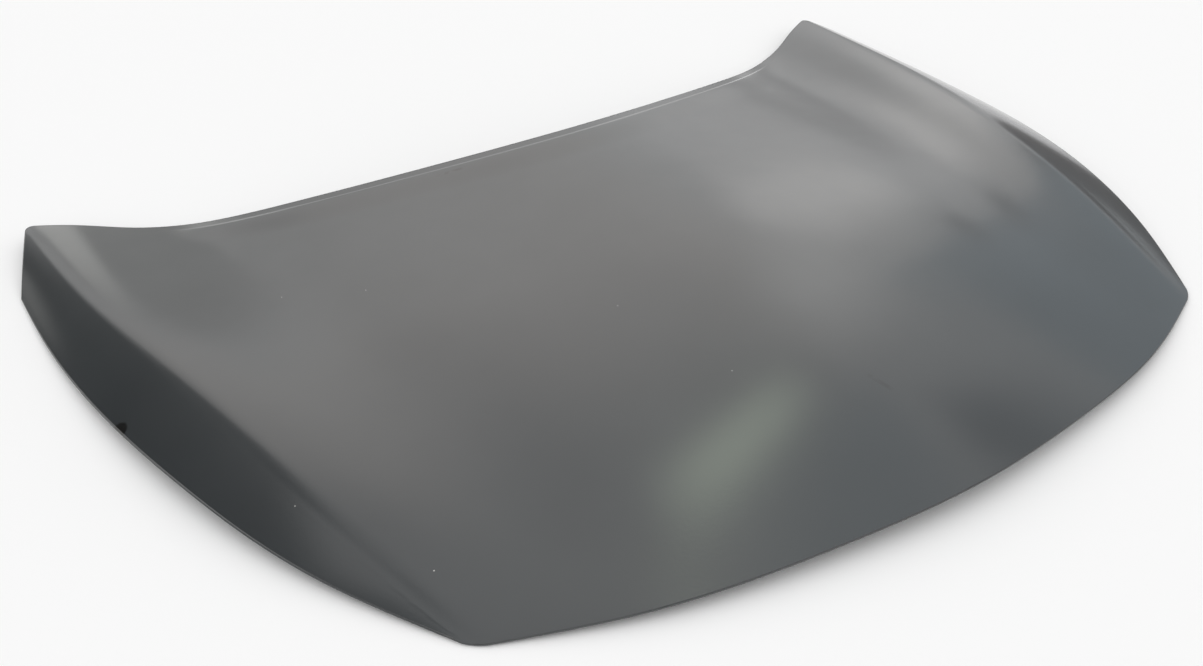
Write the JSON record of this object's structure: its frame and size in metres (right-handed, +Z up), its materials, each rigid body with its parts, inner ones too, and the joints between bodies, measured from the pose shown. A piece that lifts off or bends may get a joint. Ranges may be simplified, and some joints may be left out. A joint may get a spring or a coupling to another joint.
{
  "type": "car bonnet",
  "caption": "Pressed steel car bonnet: a domed outer skin with creased sides and swept-back rear corners, hemmed round a ribbed inner panel.",
  "frame": {"origin": "under the middle of the bonnet's box in plan, on the surface that its hem lies on", "axes": "+X across the bonnet to its right side seen from the front, +Y towards the windscreen edge, +Z up"},
  "size_m": [1.4408, 1.043, 0.097],
  "materials": {
    "skin_primer": "semi-gloss grey primer",
    "inner_primer": "satin grey primer",
    "plate_primer": "satin grey primer",
    "mastic": "matt black mastic"
  },
  "bodies": {
    "root": {"outer_skin": "skin_primer", "inner_panel": "inner_primer", "hinge_reinforcement_left": "plate_primer", "hinge_nut_left_1": "plate_primer", "hinge_nut_left_2": "plate_primer", "hinge_reinforcement_right": "plate_primer", "hinge_nut_right_1": "plate_primer", "hinge_nut_right_2": "plate_primer", "latch_reinforcement": "plate_primer", "latch_nut_1": "plate_primer", "latch_nut_2": "plate_primer", "latch_brace": "inner_primer", "mastic_left_1": "mastic", "mastic_left_2": "mastic", "mastic_left_3": "mastic", "mastic_left_4": "mastic", "mastic_left_5": "mastic", "mastic_left_6": "mastic", "mastic_left_7": "mastic", "mastic_left_8": "mastic", "mastic_left_9": "mastic", "mastic_right_1": "mastic", "mastic_right_2": "mastic", "mastic_right_3": "mastic", "mastic_right_4": "mastic", "mastic_right_5": "mastic", "mastic_right_6": "mastic", "mastic_right_7": "mastic", "mastic_right_8": "mastic", "mastic_right_9": "mastic", "mastic_middle_1": "mastic", "mastic_middle_2": "mastic", "mastic_brace_1": "mastic", "mastic_brace_2": "mastic", "mastic_brace_3": "mastic"}
  },
  "joints": []
}
